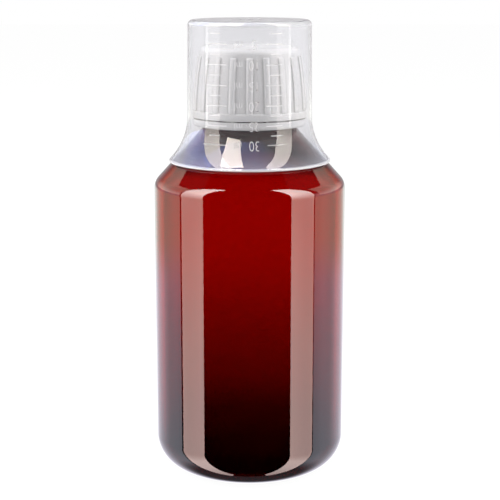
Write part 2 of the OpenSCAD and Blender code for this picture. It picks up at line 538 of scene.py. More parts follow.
def sweep_mesh(name: str, sections: Sequence[Sequence[Sequence[float]]]) -> Mesh:
    """Skins a row of equal closed sections and closes both ends.

    Args:
        name: Name of the mesh.
        sections: The sections, each a list of as many points in millimetres.

    Returns:
        The closed mesh, in metres, with its faces pointing outwards.
    """
    count = len(sections[0])
    points = [p for section in sections for p in section]
    faces: list[Sequence[int]] = []
    for s in range(len(sections) - 1):
        a, b = s * count, (s + 1) * count
        faces += [(a + i, a + (i + 1) % count, b + (i + 1) % count, b + i) for i in range(count)]
    faces.append(tuple(range(count))[::-1])
    faces.append(tuple(range((len(sections) - 1) * count, len(sections) * count)))
    mesh = plain_mesh(name, points, faces)
    face_outwards(mesh)
    return mesh


def joined(name: str, meshes: Sequence[Mesh]) -> Mesh:
    """Joins meshes of one material into one.

    Args:
        name: Name of the new mesh.
        meshes: The meshes; they are removed afterwards.

    Returns:
        The joined mesh.
    """
    shape = bmesh.new()
    for mesh in meshes:
        shape.from_mesh(mesh)
    result = bpy.data.meshes.new(name)
    shape.to_mesh(result)
    shape.free()
    result.materials.append(meshes[0].materials[0])
    for mesh in meshes:
        bpy.data.meshes.remove(mesh)
    return result


@dataclass
class Workshop:
    """Holds the geometry node trees and makes pieces with them."""

    turned: NodeTree = field(default_factory=turned_tree)
    ring: NodeTree = field(default_factory=ring_tree)
    bead: NodeTree = field(default_factory=bead_tree)

    def turn(
        self, name: str, outline: Outline, material: Material, segments: int, thread: Thread | None = None
    ) -> Mesh:
        """Turns an outline round the axis.

        Args:
            name: Name of the mesh.
            outline: The outline, from axis to axis or closed.
            material: The material.
            segments: Number of steps round the axis.
            thread: A screw thread on one of the walls, if there is one.

        Returns:
            The turned mesh.
        """
        values = {"Segments": segments, "Material": material, **(thread or Thread()).inputs()}
        points = plain_mesh(name + "_outline", [(r, 0.0, z) for r, z in outline])
        return apply_tree(name, points, self.turned, values)

    def set_round(self, name: str, mesh: Mesh, material: Material, count: int) -> Mesh:
        """Sets a number of copies of a mesh evenly round the axis, as one mesh."""
        return apply_tree(name, mesh, self.ring, {"Count": count, "Material": material})

    def bead_along(self, name: str, wires: Mesh, material: Material, radius: float, sides: int = 8) -> Mesh:
        """Lays a round bead with a radius in millimetres along wires."""
        return apply_tree(name, wires, self.bead, {"Radius": radius * MM, "Sides": sides, "Material": material})


# --------------------------------------------------------------------------------------------------- finishes


def dimmed(colour: Colour, share: float) -> Colour:
    """A colour multiplied by a share."""
    return tuple(c * share for c in colour)


class Surface(Sketch):
    """The node tree of a new material."""

    def __init__(self, name: str) -> None:
        """Starts an empty material.

        Args:
            name: Name of the material.
        """
        self.material = bpy.data.materials.new(name)
        self.material.use_nodes = True
        super().__init__(self.material.node_tree)
        self.tree.nodes.clear()
        self.output = self.add("ShaderNodeOutputMaterial")
        self.place = self.add("ShaderNodeTexCoord").outputs["Object"]

    def height(self) -> NodeSocket:
        """The height of the shaded point."""
        return self.add("ShaderNodeSeparateXYZ", self.place).outputs["Z"]

    def noise(self, scale: float, detail: float) -> NodeSocket:
        """Adds a noise with its scale in waves a metre, and gives its value."""
        values = {"Vector": self.place, "Scale": scale, "Detail": detail}
        return self.add("ShaderNodeTexNoise", named=values).outputs["Fac"]

    def bump(self, height: NodeSocket, distance: float) -> NodeSocket:
        """Adds a bump of a height pattern, as high as a distance in millimetres, and gives the normal."""
        values = {"Strength": 1.0, "Distance": distance * MM, "Height": height}
        return self.add("ShaderNodeBump", named=values).outputs["Normal"]

    def tint(self, amount: NodeSocket, low: Colour, high: Colour) -> NodeSocket:
        """Mixes two colours by a pattern between 0 and 1."""
        return self.mix(amount, (*low, 1.0), (*high, 1.0))

    def coat(self, values: dict[str, object]) -> Node:
        """Adds a Principled BSDF with inputs by name."""
        return self.add("ShaderNodeBsdfPrincipled", named=values)

    def show(self, shader: Node) -> Material:
        """Ends the material with its shader, and gives the material."""
        self.wire(self.output.inputs["Surface"], shader.outputs[0])
        return self.material

    def show_clear(self, shader: Node, colour: object) -> Material:
        """Ends a clear material, which lets light from lamps and from dull surfaces through.

        Args:
            shader: The shader's node.
            colour: What that light is tinted by at each surface.

        Returns:
            The material.
        """
        path = self.add("ShaderNodeLightPath")
        clear = self.add("ShaderNodeBsdfTransparent", colour)
        lamp = self.math("MAXIMUM", path.outputs["Is Shadow Ray"], path.outputs["Is Diffuse Ray"])
        return self.show(self.add("ShaderNodeMixShader", lamp, shader.outputs[0], clear.outputs[0]))


@dataclass(frozen=True)
class Finish:
    """A surface finish that can make its material."""

    name: str


@dataclass(frozen=True)
class AmberGlass(Finish):
    """Deep amber-red glass, darker on the sloping shoulder and neck, and darker towards the base as painted shade."""

    # Red by height in millimetres; its fall towards the base is painted shade
    tints: tuple[Point, ...] = (
        (0.0, 0.012), (6.0, 0.020), (9.5, 0.040), (13.2, 0.088), (17.0, 0.150), (20.6, 0.198), (28.0, 0.243),
        (42.5, 0.343), (57.0, 0.460), (64.0, 0.495), (71.0, 0.510), (87.5, 0.505), (90.5, 0.12), (125.0, 0.16),
    )
    edge_share: float = 0.05
    edge_facing: Point = (0.35, 0.9)
    green_share: float = 0.022
    blue_share: float = 0.008
    drift_scale: float = 28.0
    drift_m: float = 0.004
    wave_scale: float = 60.0
    wave_h: float = 0.01
    ior: float = 1.52

    def material(self) -> Material:
        """Makes the glass."""
        surface = Surface(self.name)
        drift = surface.math("SUBTRACT", surface.noise(self.drift_scale, 1.0), 0.5)
        level = surface.math("MULTIPLY_ADD", drift, self.drift_m, surface.height())
        # The glass's red by height, darkened towards the base as painted shade
        stops = [(z, (red, red * self.green_share, red * self.blue_share)) for z, red in self.tints]
        facing = surface.add("ShaderNodeLayerWeight", 0.5).outputs["Facing"]
        thick = surface.ease(facing, *self.edge_facing, 1.0, self.edge_share)
        colour = surface.scale(surface.ramp(level, stops), thick)
        wave = surface.bump(surface.noise(self.wave_scale, 1.5), self.wave_h)
        values = {"Base Color": colour, "Roughness": 0.0, "IOR": self.ior, "Transmission Weight": 1.0, "Normal": wave}
        return surface.show_clear(surface.coat(values), colour)


@dataclass(frozen=True)
class ClearPlastic(Finish):
    """Clear moulded plastic with a faint haze that is denser in the flare and at the moulded edges. The wall's grey
    tint is painted shade, the flare's blue haze is painted reflection, and the white haze at the rim and at the
    closed end's rounded edge is painted highlight.
    """

    # Tints as painted light: shade on the wall, blue reflection in the flare, highlight on the rim
    wall_colour: Colour = (0.89, 0.888, 0.905)
    flare_colour: Colour = (0.84, 0.855, 0.93)
    rim_colour: Colour = (0.99, 0.965, 0.965)
    lamp_colour: Colour = (0.98, 0.98, 0.985)
    ior: float = 1.42
    tone_z: Spot = (90.55, 90.8, 98.0)
    # Share of clear by height; the low shares at the rim and at the closed end's rounded edge haze them white as a
    # painted highlight
    clear_shares: tuple[Point, ...] = (
        (90.0, 0.15), (90.5, 0.25), (90.8, 0.86), (92.0, 0.925), (94.0, 0.965), (97.0, 0.975), (106.0, 0.97),
        (128.4, 0.97), (129.1, 0.70), (129.9, 0.45), (130.12, 0.85),
    )

    def material(self) -> Material:
        """Makes the clear plastic."""
        surface = Surface(self.name)
        height = surface.height()
        share = surface.ramp(height, [(z, (clear, clear, clear)) for z, clear in self.clear_shares])
        # Tints by height: painted highlight at the rim, painted blue reflection in the flare, painted shade on the
        # wall
        tones = zip(self.tone_z, (self.rim_colour, self.flare_colour, self.wall_colour))
        colour = surface.ramp(height, list(tones))
        values = {"Base Color": colour, "Roughness": 0.0, "IOR": self.ior, "Transmission Weight": share}
        return surface.show_clear(surface.coat(values), (*self.lamp_colour, 1.0))


@dataclass(frozen=True)
class FrostedMark(Finish):
    """The matt face of the raised marks and numerals on the cup, clearer over the cap."""

    colour: Colour = (0.95, 0.95, 0.96)
    fading_z: Point = (101.0, 106.0)
    clear_shares: Point = (0.82, 0.93)
    roughness: float = 0.4
    ior: float = 1.49
    grain_scale: float = 2500.0
    grain_h: float = 0.01
    dark_share: float = 0.95

    def material(self) -> Material:
        """Makes the frosted plastic."""
        surface = Surface(self.name)
        low, high = (level * MM for level in self.fading_z)
        grain = surface.noise(self.grain_scale, 2.0)
        colour = surface.tint(grain, dimmed(self.colour, self.dark_share), self.colour)
        values = {
            "Base Color": colour,
            "Roughness": self.roughness,
            "IOR": self.ior,
            "Transmission Weight": surface.ease(surface.height(), low, high, *self.clear_shares),
            "Normal": surface.bump(grain, self.grain_h),
        }
        return surface.show_clear(surface.coat(values), colour)


@dataclass(frozen=True)
class WhitePlastic(Finish):
    """Moulded white plastic with a satin gloss that lets a little light in."""

    colour: Colour = (0.86, 0.85, 0.845)
    roughness: float = 0.22
    roughness_steps: Point = (-0.05, 0.06)
    ior: float = 1.49
    inner_light: float = 0.25
    inner_reach: float = 1.2
    inner_colour: Colour = (1.0, 0.95, 0.9)
    cloud_scale: float = 180.0
    dark_share: float = 0.95
    grain_scale: float = 1800.0
    grain_h: float = 0.012

    def material(self) -> Material:
        """Makes the white plastic."""
        surface = Surface(self.name)
        cloud, grain = surface.noise(self.cloud_scale, 3.0), surface.noise(self.grain_scale, 3.0)
        colour = surface.tint(cloud, dimmed(self.colour, self.dark_share), self.colour)
        smooth, rough = (self.roughness + step for step in self.roughness_steps)
        values = {
            "Base Color": self.touch_up(surface, colour),
            "Roughness": surface.ease(grain, 0.3, 0.7, smooth, rough),
            "IOR": self.ior,
            "Subsurface Weight": self.inner_light,
            "Subsurface Radius": self.inner_colour,
            "Subsurface Scale": self.inner_reach * MM,
            "Normal": surface.bump(grain, self.grain_h),
        }
        return surface.show(surface.coat(values))

    def touch_up(self, surface: Surface, colour: NodeSocket) -> NodeSocket:
        """Paints light and shade into the colour by place: here it stays as it is."""
        return colour


@dataclass(frozen=True)
class RibbedPlastic(WhitePlastic):
    """The cap's plastic, with painted highlights along the edges of the ribs and the cap's upper edge, and painted
    shade in the corners beside the ribs.
    """

    rib_count: int = 20
    ribs_z: Point = (105.2, 120.6)
    ribs_fade: Point = (0.1, 1.0)
    # Painted highlight on the cap's upper edge: where it starts, is full, starts to fade and ends, and how much
    # brighter it is
    edge_z: Spread = (121.0, 121.5, 122.34, 122.74)
    edge_share: float = 1.12
    # Painted highlight on the ribs' chamfered edges and painted shade in the corners beside them, by millimetres from
    # a rib's middle
    tones: tuple[Point, ...] = ((0.40, 1.0), (0.55, 1.13), (0.85, 1.13), (0.90, 0.74), (1.10, 0.80), (1.60, 1.0))

    def touch_up(self, surface: Surface, colour: NodeSocket) -> NodeSocket:
        """Paints highlights along the ribs' edges and shade in the corners beside them, by the distance from the
        nearest rib's middle, and paints a highlight on the cap's upper edge.

        Args:
            surface: The material's tree.
            colour: The colour.

        Returns:
            The shaded colour.
        """
        x, y, z = surface.add("ShaderNodeSeparateXYZ", surface.place).outputs
        turn = surface.math("MULTIPLY", surface.math("ARCTAN2", y, x), self.rib_count / math.tau)
        off = surface.math("ABSOLUTE", surface.math("SUBTRACT", turn, surface.math("ROUND", turn)))
        radius = surface.math("SQRT", surface.math("MULTIPLY_ADD", x, x, surface.math("MULTIPLY", y, y)))
        distance = surface.math("MULTIPLY", off, surface.math("MULTIPLY", radius, math.tau / self.rib_count))
        # Painted highlight on the ribs' edges and painted shade in the corners beside them, faded out above and below
        # the ribs
        tone = surface.ramp(distance, [(away, (share,) * 3) for away, share in self.tones])
        low, high = (level * MM for level in self.ribs_z)
        fade_in, fade_out = (length * MM for length in self.ribs_fade)
        above = surface.ease(z, low - fade_in, low, 0.0, 1.0)
        inside = surface.math("MULTIPLY", above, surface.ease(z, high - fade_out, high, 1.0, 0.0))
        # Painted highlight along the cap's upper edge
        start, full, last, end = (level * MM for level in self.edge_z)
        rising = surface.ease(z, start, full, 1.0, self.edge_share)
        crown_highlight = surface.math("MINIMUM", rising, surface.ease(z, last, end, self.edge_share, 1.0))
        return surface.scale(surface.mix(inside, colour, tone, "MULTIPLY"), crown_highlight)


@dataclass(frozen=True)
class SealFoam(Finish):
    """Soft white foamed sheet with fine open grain."""

    colour: Colour = (0.82, 0.815, 0.79)
    dark_share: float = 0.9
    roughness: float = 0.75
    pore_scale: float = 3200.0
    pore_h: float = 0.03

    def material(self) -> Material:
        """Makes the foam."""
        surface = Surface(self.name)
        cells = surface.add("ShaderNodeTexVoronoi", named={"Vector": surface.place, "Scale": self.pore_scale})
        pore = cells.outputs["Distance"]
        colour = surface.tint(pore, dimmed(self.colour, self.dark_share), self.colour)
        values = {"Base Color": colour, "Roughness": self.roughness, "Normal": surface.bump(pore, self.pore_h)}
        return surface.show(surface.coat(values))


@dataclass(frozen=True)
class PaleFloor(Finish):
    """The studio's white floor, which keeps a faint shadow and lets mirrored rays pass."""

    glow_share: float = 0.86
    glow: float = 1.13
    tones: tuple[Colour, Colour] = ((0.88, 0.88, 0.885), (0.9, 0.9, 0.9))

    def material(self) -> Material:
        """Makes the floor."""
        surface = Surface(self.name)
        dull = surface.add("ShaderNodeBsdfDiffuse", surface.tint(surface.noise(3.0, 2.0), *self.tones))
        glow = surface.add("ShaderNodeEmission", WHITE, self.glow)
        rays = surface.add("ShaderNodeLightPath").outputs
        seen = surface.math("MULTIPLY", rays["Is Camera Ray"], self.glow_share)
        shown = surface.math("MAXIMUM", seen, rays["Is Transmission Ray"])
        base = surface.add("ShaderNodeMixShader", shown, dull.outputs[0], glow.outputs[0])
        clear = surface.add("ShaderNodeBsdfTransparent")
        return surface.show(
            surface.add("ShaderNodeMixShader", rays["Is Glossy Ray"], base.outputs[0], clear.outputs[0])
        )


# ----------------------------------------------------------------------------------------------------- pieces


def place_piece(mesh: Mesh, body: Body, replaces: Body | None = None) -> Object:
    """Puts a piece into the scene under its mesh's name, and on its body.

    Args:
        mesh: The mesh.
        body: The body that it rides on.
        replaces: The node that it stands for, if it does.

    Returns:
        The piece.
    """
    for polygon in mesh.polygons:
        polygon.use_smooth = True
    piece = add_object(mesh.name, mesh)
    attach(piece, body.value)
    if replaces is not None:
        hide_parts(replaces.value)
    log.info("%s: %d faces on %s", mesh.name, len(mesh.polygons), body.value)
    return piece


@dataclass
class Bottle:
    """The glass bottle with its threaded neck."""

    body_d: float = 54.6
    body_h: float = 82.8
    heel_r: float = 9.6
    stand_w: float = 2.2
    push_up_h: float = 2.4
    glass_t: float = 2.4
    base_t: float = 3.0
    shoulder_r: float = 4.2
    shoulder_angle: float = 48.0
    neck_r: float = 12.45
    bore_r: float = 9.3
    finish_h: float = 18.95
    root_r: float = 2.0
    throat_r: float = 4.0
    lip_r: float = 0.7
    bead_r: float = 14.2
    bead_h: float = 2.0
    bead_slope: float = 1.75
    bead_rise: float = 2.75
    bead_room: float = 1.0
    bead_fillets: Spread = (0.35, 0.2, 0.15, 0.5)
    thread: Thread = Thread(ThreadSide.OUTWARDS, 1.15, start=111.4, turns=1.8, crest_half=0.35, root_half=1.15)
    thread_rows: int = 76
    segments: int = 224

    def cone_z(self, r: float) -> float:
        """Gives the height of the shoulder's cone.

        Args:
            r: A radius.

        Returns:
            The height at that radius.
        """
        lean = math.radians(90 - self.shoulder_angle)
        start_r = self.body_d / 2 - self.shoulder_r + self.shoulder_r * math.cos(lean)
        start_z = self.body_h + self.shoulder_r * math.sin(lean)
        return start_z + (start_r - r) * math.tan(math.radians(self.shoulder_angle))

    @property
    def foot_z(self) -> float:
        """Height of the foot of the neck."""
        return self.cone_z(self.neck_r)

    @property
    def mouth_z(self) -> float:
        """Height of the mouth."""
        return self.foot_z + self.finish_h

    @property
    def bead_z(self) -> float:
        """Height of the bead's underside."""
        return self.foot_z + self.bead_rise

    def outside(self) -> Outline:
        """Outline of the outer surface, from the middle of the base up to the lip."""
        body_r = self.body_d / 2
        lean = 90 - self.shoulder_angle
        cos_slope = math.cos(math.radians(self.shoulder_angle))
        stand_out_r = body_r - self.heel_r
        root_c_r = self.neck_r + self.root_r
        root_c_z = self.cone_z(root_c_r) + self.root_r / cos_slope
        bead_end, room_end = self.bead_z + self.bead_h, self.bead_z + self.bead_h + self.bead_room
        under, lower, upper, over = self.bead_fillets
        neck = rounded(
            [
                (self.neck_r, self.bead_z - self.bead_room, 0.0),
                (self.neck_r, self.bead_z, under),
                (self.bead_r, self.bead_z, lower),
                (self.bead_r, bead_end - self.bead_slope, upper),
                (self.neck_r, bead_end, over),
                (self.neck_r, room_end, 0.0),
            ]
        )
        wall = [(self.neck_r, z) for z in evenly(room_end, self.mouth_z - self.lip_r, self.thread_rows)[1:-1]]
        return (
            dome(stand_out_r - self.stand_w, 0.0, self.push_up_h, 16)
            + arc(stand_out_r, self.heel_r, self.heel_r, -90, 0, 32)
            + arc(body_r - self.shoulder_r, self.body_h, self.shoulder_r, 0, lean, 20)
            + arc(root_c_r, root_c_z, self.root_r, 180 + lean, 180, 10)
            + neck
            + wall
            + arc(self.neck_r - self.lip_r, self.mouth_z - self.lip_r, self.lip_r, 0, 90, 8)
        )

    def inside(self) -> Outline:
        """Outline of the inner surface, from the lip down to the middle of the floor."""
        body_r = self.body_d / 2
        lean = 90 - self.shoulder_angle
        cos_slope = math.cos(math.radians(self.shoulder_angle))
        throat_c_r = self.bore_r + self.throat_r
        throat_c_z = self.cone_z(throat_c_r) + (self.throat_r - self.glass_t) / cos_slope
        floor = dome(body_r - self.heel_r, self.glass_t, self.push_up_h + self.base_t - self.glass_t, 16)
        return (
            arc(self.bore_r + self.lip_r, self.mouth_z - self.lip_r, self.lip_r, 90, 180, 8)
            + arc(throat_c_r, throat_c_z, self.throat_r, 180, 180 + lean, 14)
            + arc(body_r - self.shoulder_r, self.body_h, self.shoulder_r - self.glass_t, lean, 0, 12)
            + arc(body_r - self.heel_r, self.heel_r, self.heel_r - self.glass_t, 0, -90, 24)
            + floor[::-1]
        )

    def build(self, shop: Workshop, glass: Material) -> None:
        """Builds the bottle.

        Args:
            shop: The workshop.
            glass: The glass.
        """
        outline = supported(self.outside() + self.inside())
        thread = replace(self.thread, wall_r=self.neck_r)
        mesh = shop.turn("glass_bottle", outline, glass, self.segments, thread)
        place_piece(mesh, Body.BOTTLE, Body.BOTTLE)


@dataclass
class ScrewCap:
    """The white screw cap with grip ribs outside and a thread inside."""

    foot_z: float = 103.055
    top_z: float = 122.755
    plain_r: float = 15.75
    side_curve_r: float = 100.0
    top_edge_r: float = 1.6
    rib_count: int = 20
    rib_w: float = 1.75
    rib_out: float = 0.45
    rib_end_z: float = 120.455
    band_h: float = 2.0
    band_r: float = 16.32
    bore_r: float = 13.8
    relief_r: float = 14.55
    relief_z: float = 106.005
    seat_r: float = 13.15
    seat_z: float = 119.255
    ceiling_z: float = 121.155
    wall_room: float = 0.3
    rib_inset: float = 0.42
    rib_step: float = 0.19
    rib_root: float = -0.5
    rib_edge: Point = (0.05, 0.07)
    rib_sink: float = 0.3
    rib_bend: Point = (0.06, -0.02)
    rib_ends: tuple[Point, Point] = ((-0.06, 0.06), (0.05, -0.12))
    dip_r: float = 0.9
    dip_depth: float = 0.12
    dip_slope: float = 0.2
    dip_fillet: float = 0.1
    dip_room: float = 1.1
    side_room: float = 0.15
    band_slope: Spot = (0.02, 0.05, 0.1)
    foot_fillets: Spread = (0.12, 0.25, 0.2, 0.3)
    seat_fillets: Point = (0.2, 0.25)
    thread: Thread = Thread(ThreadSide.INWARDS, 1.05, start=109.81, turns=1.8, crest_half=0.25, root_half=0.8)
    rib_rows: int = 14
    side_rows: int = 24
    thread_rows: int = 60
    segments: int = 200

    def side_r(self, z: float) -> float:
        """Radius of the plain side at a height."""
        rise = z - self.foot_z
        return self.plain_r - self.side_curve_r + math.sqrt(self.side_curve_r**2 - rise * rise)

    def outline(self) -> Outline:
        """Outline of the shell, from the middle of the top outside to the middle of the ceiling inside."""
        inner_r, edge_z = self.side_curve_r - self.top_edge_r, self.top_z - self.top_edge_r
        lean = math.asin((edge_z - self.foot_z) / inner_r)
        edge_c_r = self.plain_r - self.side_curve_r + inner_r * math.cos(lean)
        band_top = self.foot_z + self.band_h
        side_from = edge_z + self.top_edge_r * math.sin(lean)
        side = [(self.side_r(z), z) for z in evenly(side_from, band_top + self.side_room, self.side_rows)[1:]]
        step = self.bore_r - self.seat_r
        wall_from, wall_to = self.relief_z + self.relief_r - self.bore_r, self.seat_z - step
        ends = (wall_from + self.wall_room, wall_to - self.wall_room)
        wall = [(self.bore_r, z) for z in evenly(*ends, self.thread_rows)]
        dip_z, slope_r = self.top_z - self.dip_depth, self.dip_r + self.dip_slope
        top = rounded(
            [
                (0.0, dip_z, 0.0),
                (self.dip_r, dip_z, self.dip_fillet),
                (slope_r, self.top_z, self.dip_fillet),
                (self.dip_r + self.dip_room, self.top_z, 0.0),
            ]
        )
        out, above, below = self.band_slope
        band_edge, foot_edge, foot_inner, relief_edge = self.foot_fillets
        foot = rounded(
            [
                (self.side_r(band_top) + out, band_top + above, 0.0),
                (self.band_r, band_top - below, band_edge),
                (self.band_r, self.foot_z, foot_edge),
                (self.relief_r, self.foot_z, foot_inner),
                (self.relief_r, self.relief_z, relief_edge),
                (self.bore_r, wall_from, 0.0),
            ]
        )
        seat_edge, ceiling_edge = self.seat_fillets
        seat = rounded(
            [
                (self.bore_r, wall_to, 0.0),
                (self.seat_r, self.seat_z, seat_edge),
                (self.seat_r, self.ceiling_z, ceiling_edge),
                (0.0, self.ceiling_z, 0.0),
            ]
        )
        crown = arc(edge_c_r, edge_z, self.top_edge_r, 90, math.degrees(lean), 12)
        return top + crown + side + foot + wall + seat

    def rib(self) -> Mesh:
        """Makes one grip rib, which follows the side and slopes away at its upper end."""
        low, high = self.foot_z + self.band_h - self.rib_sink, self.rib_end_z
        half, root, (edge_w, edge_h) = self.rib_w / 2, self.rib_root, self.rib_edge
        stations = [(z, self.rib_out) for z in evenly(low, high - self.rib_out, self.rib_rows)]
        stations.append((high - self.rib_out + self.rib_bend[0], self.rib_out + self.rib_bend[1]))
        stations += [(high + rise, out) for rise, out in self.rib_ends]
        sections = []
        for z, out in stations:
            face = self.side_r(z) + out
            step = min(self.rib_step, (out - root) / 4)
            right = [(face, half - self.rib_inset), (face - step, half - edge_w), (face - step - edge_h, half)]
            right.append((self.side_r(z) + root, half))
            left = [(r, -y) for r, y in reversed(right)]
            sections.append([(r, y, z) for r, y in left + right])
        return sweep_mesh("rib", sections)

    def build(self, shop: Workshop, plastic: Material) -> None:
        """Builds the cap.

        Args:
            shop: The workshop.
            plastic: The white plastic.
        """
        thread = replace(self.thread, wall_r=self.bore_r)
        shell = shop.turn("cap_shell", supported(self.outline()), plastic, self.segments, thread)
        place_piece(shell, Body.CAP, Body.CAP)
        ribs = shop.set_round("cap_ribs", self.rib(), plastic, self.rib_count)
        place_piece(ribs, Body.CAP)


@dataclass
class TamperBand:
    """The ring that stays on the neck, with the flaps that catch under the bead and the parted bridges."""

    low_z: float = 100.555
    top_z: float = 102.755
    out_r: float = 16.14
    in_r: float = 14.84
    edge_r: float = 0.9
    fillet: float = 0.15
    flap_count: int = 12
    flap_angle: float = 18.0
    flap_t: float = 0.5
    flap_reach: float = 1.3
    flap_bevel: float = 0.1
    flap_rows: int = 8
    flap_tip: float = 0.2
    flap_trim: float = 0.25
    bridge_count: int = 10
    bridge_w: float = 0.6
    bridge_h: float = 0.25
    bridge_tip: float = 0.55
    segments: int = 160

    def ring(self) -> Outline:
        """Closed outline of the ring."""
        return rounded(
            [
                (self.in_r, self.low_z, self.fillet),
                (self.out_r, self.low_z, self.edge_r),
                (self.out_r, self.top_z, self.fillet),
                (self.in_r, self.top_z, self.fillet),
            ],
            6,
            closed=True,
        )

    def flap(self) -> Mesh:
        """Makes one flap, folded up and inwards from the foot of the ring."""
        wall = self.out_r - self.in_r
        root_r, tip_r = self.in_r + wall / 2, self.in_r - self.flap_reach
        section = [
            (root_r, self.low_z + self.flap_bevel),
            (root_r, self.low_z + self.flap_t),
            (self.in_r, self.low_z + self.flap_t),
            (tip_r + self.flap_t, self.top_z - self.flap_bevel / 2),
            (tip_r + self.flap_t / 2, self.top_z),
            (tip_r, self.top_z - self.flap_bevel),
            (self.in_r, self.low_z + self.flap_bevel / 2),
        ]
        sections = []
        for share in evenly(0.0, 1.0, self.flap_rows):
            a = math.radians(self.flap_angle * share)
            trim = self.flap_trim * (2 * share - 1) ** 6
            lowered = [(r, z - trim if z > self.top_z - self.flap_tip else z) for r, z in section]
            sections.append([(r * math.cos(a), r * math.sin(a), z) for r, z in lowered])
        return sweep_mesh("flap", sections)

    def bridge(self) -> Mesh:
        """Makes one bridge stub, torn off to a narrow top."""
        wall = self.out_r - self.in_r
        from_r, to_r = self.in_r + wall / 4, self.in_r + wall * 3 / 4
        sections = []
        for rise, share in ((-self.flap_t, 1.0), (self.bridge_h / 2, 1.0), (self.bridge_h, self.bridge_tip)):
            half = self.bridge_w / 2 * share
            mid, reach = (from_r + to_r) / 2, (to_r - from_r) / 2 * share
            corners = ((-reach, -half), (reach, -half), (reach, half), (-reach, half))
            sections.append([(mid + x, y, self.top_z + rise) for x, y in corners])
        return sweep_mesh("bridge", sections)

    def build(self, shop: Workshop, plastic: Material) -> None:
        """Builds the band.

        Args:
            shop: The workshop.
            plastic: The white plastic.
        """
        ring = shop.turn("band_ring", supported(self.ring()), plastic, self.segments)
        place_piece(ring, Body.BAND, Body.BAND)
        flaps = shop.set_round("band_flaps", self.flap(), plastic, self.flap_count)
        place_piece(flaps, Body.BAND)
        bridges = shop.set_round("band_bridges", self.bridge(), plastic, self.bridge_count)
        place_piece(bridges, Body.BAND)


@dataclass
class SealingDisc:
    """The soft disc in the cap that closes the mouth."""

    r: float = 13.0
    low_z: float = 119.905
    thick: float = 1.2
    ring_r: float = 10.9
    ring_half: float = 1.3
    ring_depth: float = 0.12
    dent_in: float = 1.7
    dent_out: float = 1.6
    dent_fillet: float = 0.3
    edge_fillets: Point = (0.15, 0.2)
    segments: int = 128

    def outline(self) -> Outline:
        """Outline with rounded edges and the ring that the mouth has pressed into the underside."""
        top = self.low_z + self.thick
        low_edge, top_edge = self.edge_fillets
        return rounded(
            [
                (0.0, self.low_z, 0.0),
                (self.ring_r - self.dent_in, self.low_z, self.dent_fillet),
                (self.ring_r - self.ring_half, self.low_z + self.ring_depth, self.dent_fillet),
                (self.ring_r + self.ring_half, self.low_z + self.ring_depth, self.dent_fillet),
                (self.ring_r + self.dent_out, self.low_z, low_edge),
                (self.r, self.low_z, low_edge),
                (self.r, top, top_edge),
                (0.0, top, 0.0),
            ]
        )

    def build(self, shop: Workshop, foam: Material) -> None:
        """Builds the disc of foam."""
        disc = shop.turn("seal_disc", supported(self.outline()), foam, self.segments)
        place_piece(disc, Body.DISC, Body.DISC)


